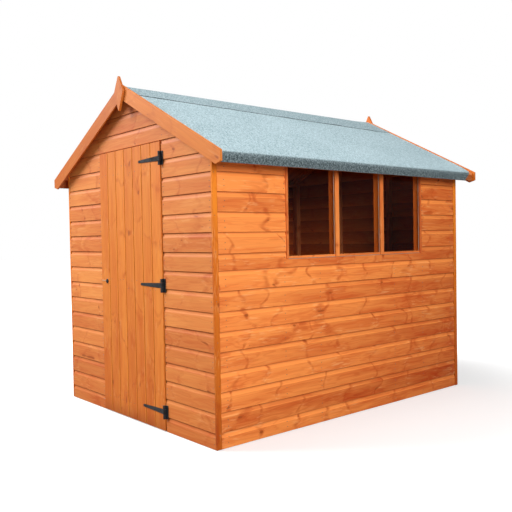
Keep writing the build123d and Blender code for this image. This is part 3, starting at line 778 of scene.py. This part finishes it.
class SHED_OT_strips(ShedOperator, bpy.types.Operator):
    """Fix the upright strips on the ends of the side walls"""

    bl_idname = "shed.strips"
    bl_label = "Corner strips"

    def execute(self, context):
        for end in CORNERS:
            # the strips are painted paler towards the top and deeper towards the bottom, and painted shade
            # towards the back of the shed
            carry(f"strip_{end}", f"corner_strip_{end}", "shed", "dipped_softwood", "planed_strip_dipped",
                  context.scene.shed_sizes.arris, lambda co: 1.0 + 0.5 * co.y / -PLAIN_LOW.y - 1.2 * co.z)
        return {"FINISHED"}


class SHED_OT_framing(ShedOperator, bpy.types.Operator):
    """Stand the sawn wall framing, rails, rafters and purlins"""

    bl_idname = "shed.framing"
    bl_label = "Framing"

    def execute(self, context):
        # tone 2.0 paints the eaves battens darker: painted shade where they show past the felt's trimmed end
        tones = {"window_wall_studs": -0.6, "eaves_battens": 2.0}
        for node in ("floor_bearers", "sole_plates", "plain_wall_studs", "window_wall_studs",
                     "front_wall_studs", "back_wall_studs", "gable_rafters", "cross_rails", "roof_purlins",
                     "eaves_battens"):
            # tone -0.6 and a brighter finish are painted light on the window studs' sides seen through the
            # panes
            finish = "window_stud_dipped" if node == "window_wall_studs" else "sawn_framing_dipped"
            carry(f"{node}_sawn", node, "shed", "framing_softwood", finish,
                  context.scene.shed_sizes.sawn_arris, tones.get(node, 0.0))
        return {"FINISHED"}


class SHED_OT_floor(ShedOperator, bpy.types.Operator):
    """Lay the floor boards from gable to gable"""

    bl_idname = "shed.floor"
    bl_label = "Floor"

    def execute(self, context):
        sizes = context.scene.shed_sizes
        piece = Piece("floor_boards_laid", "shed", "framing_softwood", "sawn_framing_dipped")
        across, length, thickness = FLOOR_HIGH - FLOOR_LOW
        count = round(across / sizes.course)
        width, joint = across / count, 0.05 * MM
        for n in range(count):
            part = ease(bar(oblong(joint, width - joint, 0, thickness), length), sizes.sawn_arris)
            turn(part, FLOOR_LOW + X * (n * width), Y, X, Z)
            piece.add(grow(part, f"floor {n}", Y, X, Z))
        piece.place("floor_boards")
        return {"FINISHED"}


class SHED_OT_roof_boards(ShedOperator, bpy.types.Operator):
    """Nail the roof boards side by side from ridge to eaves"""

    bl_idname = "shed.roof_boards"
    bl_label = "Roof boards"

    def execute(self, context):
        sizes = context.scene.shed_sizes
        count = round((BOARDS_HIGH.y - BOARDS_LOW.y) / sizes.roof_board)
        width, gap = (BOARDS_HIGH.y - BOARDS_LOW.y) / count, 0.5 * MM
        depth = (BOARDS_HIGH.z - RIDGE) * cos(PITCH)
        for side, name in ((-1, "left"), (1, "right")):
            piece = Piece(f"roof_boards_{name}_laid", "shed", "framing_softwood", "sawn_framing_dipped")
            down = Vector((side * cos(PITCH), 0, -sin(PITCH)))
            outward = Vector((side * sin(PITCH), 0, cos(PITCH)))
            for n in range(count):
                part = bar(oblong(0, depth, gap, width - gap), BOARDS_HIGH.x / cos(PITCH) + 2 * depth)
                start = Vector((0, BOARDS_LOW.y + n * width, RIDGE)) - down * depth
                turn(part, start, down, outward, Y)
                cut(part, X * (side * gap), X * -side)
                cut(part, X * (side * BOARDS_HIGH.x), X * side)
                piece.add(grow(ease(part, sizes.sawn_arris), f"roof {name} {n}", down, Y, outward))
            piece.place(f"roof_boards_{name}")
        return {"FINISHED"}


# ---- Felt, barge boards and finials ----

SLOPE_STEPS, FOLD_STEPS, BAND_STEPS = 11, 4, 3   # of the felt's section: the roof, the fold, the band below


def felt_section(sizes):
    """The right slope's felt from the ridge to its lower edge, as (x, z) points."""
    edge, top, low = FELT_HIGH.x, FELT_HIGH.z, FELT_LOW.z
    fold, bend = sizes.felt_fold, pi / 2 - PITCH
    tangent = fold * tan(bend / 2)
    step = (edge - tangent * cos(PITCH)) / SLOPE_STEPS
    fold_centre = top - edge * tan(PITCH) - tangent
    points = [(n * step, top - n * step * tan(PITCH)) for n in range(SLOPE_STEPS + 1)]
    for n in range(1, FOLD_STEPS + 1):
        angle = bend * (1 - n / FOLD_STEPS)
        points.append((edge - fold + fold * cos(angle), fold_centre + fold * sin(angle)))
    drop = (low - fold_centre) / BAND_STEPS
    return points + [(edge, fold_centre + n * drop) for n in range(1, BAND_STEPS + 1)]


def lay_felt(name, node, points_across, steps, place, sizes, cut_ends=False):
    """Lay one closed sheet of felt: a grid whose points place() puts in the air, thickened downwards.

    The underside is bitumen, and so are the ends where they are cut.
    """
    part = new_part()
    bmesh.ops.create_grid(part, x_segments=points_across - 1, y_segments=steps, size=1)
    dip_and_light_layer = part.verts.layers.float[TINT_AND_LIGHT]
    for vert in part.verts:
        vert.co, vert[dip_and_light_layer] = place((vert.co.x + 1) / 2, (vert.co.y + 1) / 2)
    part.normal_update()
    if sum(face.normal.z for face in part.faces) < 0:
        bmesh.ops.reverse_faces(part, faces=part.faces)
    bmesh.ops.solidify(part, geom=part.faces[:], thickness=sizes.felt)
    bmesh.ops.recalc_face_normals(part, faces=part.faces)
    for face in part.faces:
        face.material_index = int(face.normal.z < -0.2 or (cut_ends and abs(face.normal.y) > 0.9))
    piece = Piece(name, "shed", "mineral_felt", "mineral_felt_slate_chips", "bitumen_cut_edge")
    piece.add(part)
    piece.place(node)


class SHED_OT_felt(ShedOperator, bpy.types.Operator):
    """Lay the mineral felt on both slopes, turned down at the eaves, and the strip over the ridge"""

    bl_idname = "shed.felt"
    bl_label = "Roofing felt"

    def execute(self, context):
        sizes = context.scene.shed_sizes
        section = felt_section(sizes)
        last = len(section) - 1
        length = FELT_HIGH.y - FELT_LOW.y

        def back_rise(v):
            return sizes.felt_rise * max(0.0, (v - 0.94) / 0.06)

        def on_slope(side, u, v):
            n = round(u * last)
            x, z = section[n]
            y = FELT_LOW.y + v * length
            turned = max(0.0, min(1.0, (n - SLOPE_STEPS) / (FOLD_STEPS + 1)))
            lift = 1 * MM * (1 + noise.noise(Vector((x * 3.1 * side, y * 3.7, 5.2 + side))))
            x += lift * sin(PITCH) * (1 - turned) + 0.8 * MM * turned * waver(y, 3 + side, 0.12)
            z += (lift * cos(PITCH) + back_rise(v)) * (1 - turned)
            if n == last:
                z += 1.6 * MM * waver(y, 9 + side, 0.16)
            trim = sizes.felt_trim * (0.9 if n == SLOPE_STEPS else float(n > SLOPE_STEPS))
            slant = sizes.felt_slant * max(0.0, (n - SLOPE_STEPS - FOLD_STEPS) / BAND_STEPS)
            y -= max(0.0, (v - 0.9) / 0.1) * (trim + slant)
            # the turned-down band is painted darker: painted shade on its sideways face
            return Vector((side * x, y, z)), -1.2 * turned

        def over_ridge(u, v):
            y = FELT_LOW.y + v * length
            half = sizes.ridge_front + (sizes.ridge_back - sizes.ridge_front) * v
            half += 2.5 * MM * waver(y, 21, 0.2)
            x = (2 * u - 1) * half
            z = ridge_top + 1 * MM - sqrt(x * x + (5 * MM) ** 2) * tan(PITCH)
            curl = max(0.0, (abs(x) - half) / (45 * MM) + 1) ** 2
            curl *= max(0.0, 0.3 + 1.6 * waver(y, 5 + (x > 0), 0.13) + 0.9 * (0.4 - v))
            return Vector((x, y, z + curl * sizes.ridge_lift + back_rise(v))), -0.32

        ridge_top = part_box("ridge_felt")[1].z
        for side, name in ((-1, "left"), (1, "right")):
            lay_felt(f"felt_{name}_laid", f"felt_{name}", last + 1, 48, partial(on_slope, side), sizes, True)
        lay_felt("ridge_strip_laid", "ridge_felt", 23, 60, over_ridge, sizes)
        return {"FINISHED"}


class SHED_OT_barges(ShedOperator, bpy.types.Operator):
    """Fix the barge boards and the kite-shaped finials on both gables"""

    bl_idname = "shed.barges"
    bl_label = "Barge boards and finials"

    def execute(self, context):
        arris = context.scene.shed_sizes.arris
        boards = [(f"barge_{end}", f"barge_board_{end}", None) for end in CORNERS]
        kites = [(f"finial_{end}_kite", f"finial_{end}", Z) for end in ("front", "back")]
        for name, node, along in boards + kites:
            carry(name, node, "shed", "dipped_softwood", "barge_board_dipped", arris, along=along)
        return {"FINISHED"}


# ---- Window ----


def line_of_sealant(piece, start, end, radius, seed):
    """Add a thumbed line of sealant between two points of the window wall."""
    run = end - start
    section = [(radius * cos(n * pi / 4), radius * sin(n * pi / 4)) for n in range(8)]
    part = bar(section, run.length, max(3, round(run.length / (30 * MM))))
    for vert in part.verts:
        swell = 1 + 0.3 * waver(vert.co.x, seed, 0.05)
        vert.co.y, vert.co.z = vert.co.y * swell, vert.co.z * swell
    direction = run.normalized()
    piece.add(turn(part, start, direction, X, direction.cross(X)))


class SHED_OT_window(ShedOperator, bpy.types.Operator):
    """Glaze the window: panes, cover beads, sill pieces and lines of sealant"""

    bl_idname = "shed.window"
    bl_label = "Window"

    def execute(self, context):
        sizes = context.scene.shed_sizes
        for n in range(1, 4):
            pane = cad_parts[f"window_pane_{n}"]
            pane.data.materials.clear()
            pane.data.materials.append(finish_of("horticultural_glass_3mm"))
        for name, node, tone in (("glazing_beads", "window_beads", 0.6),
                                 ("window_sill_pieces", "window_sill", -0.2)):
            carry(name, node, "shed", "dipped_softwood", "side_shiplap_dipped", sizes.arris, tone)
        sealant = Piece("glazing_sealant_lines", "shed", "dipped_softwood", "glazing_sealant")
        sunk = 0.6 * MM
        edges = sorted({round(vert.co.y, 5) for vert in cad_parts["window_beads"].data.vertices})
        for n, edge in enumerate(edges[2::2]):
            low = Vector((WINDOW_LOW.x + sunk, edge - sunk, WINDOW_LOW.z + 17 * MM))
            high = Vector((low.x, low.y, WINDOW_HIGH.z - 1 * MM))
            line_of_sealant(sealant, low, high, sizes.sealant / 2, n)
        low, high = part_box("window_sill")
        face = -PLAIN_LOW.x - sunk
        line_of_sealant(sealant, Vector((face, low.y, low.z)), Vector((face, high.y, low.z)), 2.2 * MM, 12)
        sealant.place()
        return {"FINISHED"}


# ---- Door ----


def matchboard_profile(n, last, width, thick, sizes):
    """Section of the door's nth board as (across, outward) points, with its tongue, V joints and arrises."""
    slot, slope, face, tongue, arris = sizes.groove_slot / 2, sizes.groove, 5 * MM, 3.5 * MM, 1 * MM
    left, right = slot if n else 0.0, width - slot if n < last else width
    points = [(left, 0), (right, 0)]
    if n < last:
        points += [(right, 3 * MM), (right + tongue, 3 * MM), (right + tongue, 6.5 * MM), (right, 6.5 * MM)]
        points += [(right, thick - slope * 0.8), (right - slope, thick), (right - slope - face, thick)]
    else:
        points += [(right, thick - arris), (right - arris, thick)]
    if n:
        return points + [(left + slope + face, thick), (left + slope, thick), (left, thick - slope * 0.8)]
    return points + [(left + arris, thick), (left, thick - arris)]


class SHED_OT_door(ShedOperator, bpy.types.Operator):
    """Make the ledged and braced door from V-jointed matchboards"""

    bl_idname = "shed.door"
    bl_label = "Door"

    def execute(self, context):
        sizes = context.scene.shed_sizes
        piece = Piece("door_matchboards", "door", "dipped_softwood", "door_matchboard_dipped")
        last = sizes.door_boards - 1
        width = (DOOR_HIGH.x - DOOR_LOW.x) / sizes.door_boards
        slot = sizes.groove_slot / 2
        for n in range(sizes.door_boards):
            section = matchboard_profile(n, last, width, DOOR_HIGH.y - DOOR_LOW.y, sizes)
            part = bar([(y, -x) for x, y in section], DOOR_HIGH.z - DOOR_LOW.z, 36)
            grime_and_shade_layer, dip_and_light_layer = part.verts.layers.float[GRIME_AND_SHADE], part.verts.layers.float[TINT_AND_LIGHT]
            for vert in part.verts:
                height, out, across = vert.co.x, vert.co.y, -vert.co.z
                joint = min(across - slot if n else 1, width - slot - across if n < last else 1)
                in_joint = joint < 1 * MM and out > 5 * MM
                # dark joints, and darker towards the door's bottom edge
                vert[grime_and_shade_layer] = 0.4 if in_joint else 0.55 * max(0.0, 1 - height / (100 * MM))
                # the slopes of each V joint are painted paler: a painted highlight where they catch the light
                vert[dip_and_light_layer] = -1.4 if 1 * MM < joint < sizes.groove + 1 * MM else 0.0
            turn(part, Vector((DOOR_LOW.x + n * width, DOOR_HIGH.y, DOOR_LOW.z)), Z, -Y, -X)
            piece.add(grow(part, f"door {n}", Z, X, Y, low_deep_ridge_shade, 0.4))
        piece.place("door_boards")
        carry("door_ledges_and_braces", "door_ledges", "door", "dipped_softwood", "door_matchboard_dipped",
              sizes.arris)
        return {"FINISHED"}


# ---- Ironwork and nails ----


def heads(places, outward, radius, rise, sides=8):
    """A part with a low domed nail or screw head at each place, sunk a little into the wood."""
    part = new_part()
    spin = Z.rotation_difference(outward).to_matrix().to_4x4()
    for place in places:
        matrix = Matrix.Translation(place + outward * (rise / 2 - 0.2 * MM)) @ spin
        bmesh.ops.create_cone(part, cap_ends=True, segments=sides, radius1=radius, radius2=radius * 0.62,
                              depth=rise, matrix=matrix)
    return part


class SHED_OT_ironwork(ShedOperator, bpy.types.Operator):
    """Finish the T hinges and the rim lock, with their screws and the latch plate"""

    bl_idname = "shed.ironwork"
    bl_label = "Hinges and lock"

    def execute(self, context):
        sizes = context.scene.shed_sizes
        door_face, cladding = DOOR_LOW.y - 3 * MM, LEFT_LOW.y
        hinge_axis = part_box("hinge_straps")[0].y + 6 * MM
        # a strap's screws: their share of its length, and how many mm they stand off its middle
        strap_screws = ((0.05, 0), (0.28, 3.5), (0.53, -3), (0.78, 2))
        # a black lip on each plate closes the view behind the strap's knuckle: a dark sheet that stands for
        # the shade in the plate's cut-out
        lip = oblong(0, 2 * MM, -17.5 * MM, 17.5 * MM)
        for name, node, body in (
            ("hinge_straps_japanned", "hinge_straps", "door"),
            ("hinge_plates_japanned", "hinge_plates", "shed"),
            ("rim_lock_japanned", "door_lock", "door"),
        ):
            piece = Piece(name, body, "black_steel", "black_japanned_steel")
            for part in loose_parts(node):
                low, high = corners(part)
                middle = (low + high) / 2
                piece.add(ease(part, 0.7 * MM, 40))
                screws = []
                if node == "hinge_straps":
                    screws = [Vector((low.x + share * (high.x - low.x), door_face, middle.z + sway * MM))
                              for share, sway in strap_screws]
                elif node == "hinge_plates":
                    screws = [Vector((high.x - 9 * MM, cladding - 3 * MM, z))
                              for z in (low.z + 12 * MM, high.z - 12 * MM)]
                    start = Vector((high.x - 19 * MM, hinge_axis, middle.z))
                    piece.add(turn(bar(lip, cladding - hinge_axis), start, Y, X, -Z))
                piece.add(heads(screws, -Y, sizes.screw, 1.6 * MM, 10))
            piece.place(node)

        latch = Piece("latch_plate", "door", "black_steel", "zinc_smeared_with_dip")
        low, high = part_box("door_lock")
        start = Vector((DOOR_LOW.x + 1 * MM, DOOR_LOW.y, (low.z + high.z) / 2))
        part = bar(oblong(0, 1.6 * MM, -1 * MM, 7 * MM), low.x - start.x + 2 * MM)
        latch.add(turn(ease(part, 0.6 * MM), start, X, -Y, Z))
        latch.place()
        return {"FINISHED"}


def drive(name, body, *parts):
    """Make a piece of nails from parts with their heads."""
    piece = Piece(name, body, "dipped_softwood", "zinc_plated_steel")
    for part in parts:
        piece.add(part)
    piece.place()


class SHED_OT_nails(ShedOperator, bpy.types.Operator):
    """Drive the nails through the shiplap, the strips and the door, a pair through each board at each stud"""

    bl_idname = "shed.nails"
    bl_label = "Nails"

    def execute(self, context):
        sizes = context.scene.shed_sizes
        luck = random.Random("nails")
        beside_door, gable_end = 14 * MM - LEFT_HIGH.x, BACK_HIGH.x - 12 * MM
        side_end, beside_window, third = PLAIN_HIGH.y - 50 * MM, 13 * MM, BACK_HIGH.x / 3
        rows, front_rows = courses_of(sizes, RIDGE), courses_of(sizes, RIDGE, DOOR_HEAD)
        window_studs = (-side_end, WINDOW_LOW.y - beside_window, -0.342, 0.41, WINDOW_HIGH.y + beside_window,
                        side_end)
        over_sill = (WINDOW_LOW.y, WINDOW_HIGH.y, WINDOW_LOW.z - 6 * MM, RIDGE)
        for name, along, outward, face, courses, columns, hole in (
            ("window_wall_nails", Y, X, -PLAIN_LOW.x, WINDOW_ROWS, window_studs, over_sill),
            ("plain_wall_nails", Y, -X, -PLAIN_LOW.x, rows, (-side_end, -0.581, 0.0, 0.581, side_end), None),
            ("front_gable_nails", X, -Y, -LEFT_LOW.y, front_rows,
             (-gable_end, -beside_door, beside_door, gable_end), DOORWAY),
            ("back_gable_nails", X, Y, BACK_HIGH.y, rows, (-gable_end, -third, third, gable_end), None),
        ):
            places = []
            for low, column, height in product(courses, columns, (29 * MM, 63 * MM)):
                place = column + luck.uniform(-3, 3) * MM
                z = low + height + luck.uniform(-3, 3) * MM
                top = PLAIN_HIGH.z - 12 * MM if along == Y else RIDGE - abs(place) * tan(PITCH) - 14 * MM
                in_hole = hole and hole[0] <= place <= hole[1] and hole[2] <= z <= hole[3]
                if z < top and not in_hole and luck.random() > 0.05:
                    places.append(along * place + outward * (face - 0.4 * MM) + Z * z)
            drive(name, "shed", heads(places, outward, sizes.nail, 1.1 * MM))

        places = []
        width = (DOOR_HIGH.x - DOOR_LOW.x) / sizes.door_boards
        low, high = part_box("door_ledges")
        ledges = (low.z + 48 * MM, (low.z + high.z) / 2, high.z - 48 * MM)
        for middle, n, share in product(ledges, range(sizes.door_boards), (0.28, 0.72)):
            x = DOOR_LOW.x + (n + share) * width + luck.uniform(-4, 4) * MM
            z = middle + luck.choice((-24, 24)) * MM + luck.uniform(-4, 4) * MM
            places.append(Vector((x, DOOR_LOW.y, z)))
        drive("door_nails", "door", heads(places, -Y, sizes.nail, 0.9 * MM))

        parts = []
        for end in CORNERS:
            low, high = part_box(f"corner_strip_{end}")
            outward = X if high.x > 0 else -X
            face, places = outward * max(abs(low.x), abs(high.x)), []
            z = low.z + luck.uniform(40, 90) * MM
            while z < high.z - 30 * MM:
                places.append(face + Y * ((low.y + high.y) / 2 + luck.uniform(-6, 6) * MM) + Z * z)
                z += luck.uniform(180, 330) * MM
            parts.append(heads(places, outward, sizes.nail, 0.9 * MM))
        drive("strip_nails", "shed", *parts)
        return {"FINISHED"}


# ---- Stage ----


class SHED_OT_stage(ShedOperator, bpy.types.Operator):
    """Set the camera, the soft studio light and the pale floor"""

    bl_idname = "shed.stage"
    bl_label = "Stage"

    def execute(self, context):
        scene = context.scene
        scene.view_settings.view_transform = "Standard"
        camera = bpy.data.objects.new("camera", bpy.data.cameras.new("camera"))
        camera.data.lens, camera.data.sensor_width, camera.data.shift_x = 46.74, 36, 0.027
        yaw, pitch, roll = radians(-50.2), radians(1.5), radians(-1.05)
        forward = Vector((sin(yaw) * cos(pitch), cos(yaw) * cos(pitch), -sin(pitch)))
        level = Vector((cos(yaw), -sin(yaw), 0))
        upright = level.cross(forward)
        right, up = level * cos(roll) + upright * sin(roll), upright * cos(roll) - level * sin(roll)
        facing = Matrix((right, up, -forward)).transposed().to_4x4()
        camera.matrix_world = Matrix.Translation((3.799, -3.405, 1.177)) @ facing
        scene.collection.objects.link(camera)
        scene.camera = camera

        ground = bmesh.new()
        bmesh.ops.create_grid(ground, x_segments=1, y_segments=1, size=40)
        mesh = bpy.data.meshes.new("floor")
        ground.to_mesh(mesh)
        ground.free()
        mesh.materials.append(finish_of("studio_floor_paint"))
        floor = bpy.data.objects.new("floor", mesh)
        floor.location.z = -0.2 * MM
        scene.collection.objects.link(floor)

        scene.world = bpy.data.worlds.new("studio")
        scene.world.use_nodes = True
        tree = scene.world.node_tree
        seen = add_node(tree, "LightPath")["Is Camera Ray"]
        strength = add_node(tree, "MapRange", {"Value": seen, "To Min": 0.14, "To Max": 1})[0]
        feed(tree.nodes["Background"], {"Color": (1, 1, 1, 1), "Strength": strength})

        for name, place, aim, size, watts in (
            ("key", (7.5, -1.8, 3.2), (0.9, 0, 1), 3.5, 465),
            ("fill", (-7.8, -7.5, 8.8), (0, -1.2, 1), 7.0, 2640),
            ("top", (0.6, -0.6, 7.0), (0, 0, 1.8), 4.0, 142),
        ):
            lamp = bpy.data.lights.new(name, "AREA")
            lamp.energy, lamp.size = watts, size
            holder = bpy.data.objects.new(name, lamp)
            holder.location = place
            holder.rotation_euler = (Vector(place) - Vector(aim)).to_track_quat("Z", "Y").to_euler()
            scene.collection.objects.link(holder)
        return {"FINISHED"}


OPERATORS = (SHED_OT_window_wall, SHED_OT_plain_wall, SHED_OT_gables, SHED_OT_strips, SHED_OT_framing,
             SHED_OT_floor, SHED_OT_roof_boards, SHED_OT_felt, SHED_OT_barges, SHED_OT_window, SHED_OT_door,
             SHED_OT_ironwork, SHED_OT_nails, SHED_OT_stage)


class SHED_PT_panel(bpy.types.Panel):
    """The shed's builders in the sidebar"""

    bl_label = "Wooden garden shed"
    bl_idname = "SHED_PT_panel"
    bl_space_type = "VIEW_3D"
    bl_region_type = "UI"
    bl_category = "Shed"

    def draw(self, context):
        for operator in OPERATORS:
            self.layout.operator(operator.bl_idname)


CLASSES = (ShedSizes, ShedColours, *OPERATORS, SHED_PT_panel)


def register():
    """Register the classes and their settings."""
    for kind in CLASSES:
        bpy.utils.register_class(kind)
    bpy.types.Scene.shed_sizes = PointerProperty(type=ShedSizes)
    bpy.types.Scene.shed_colours = PointerProperty(type=ShedColours)


def unregister():
    """Take the classes and their settings away again."""
    del bpy.types.Scene.shed_colours
    del bpy.types.Scene.shed_sizes
    for kind in reversed(CLASSES):
        bpy.utils.unregister_class(kind)


def main():
    """Build everything in order."""
    register()
    for operator in OPERATORS:
        getattr(bpy.ops.shed, operator.bl_idname.split(".")[1])()


if __name__ == "__main__":
    main()
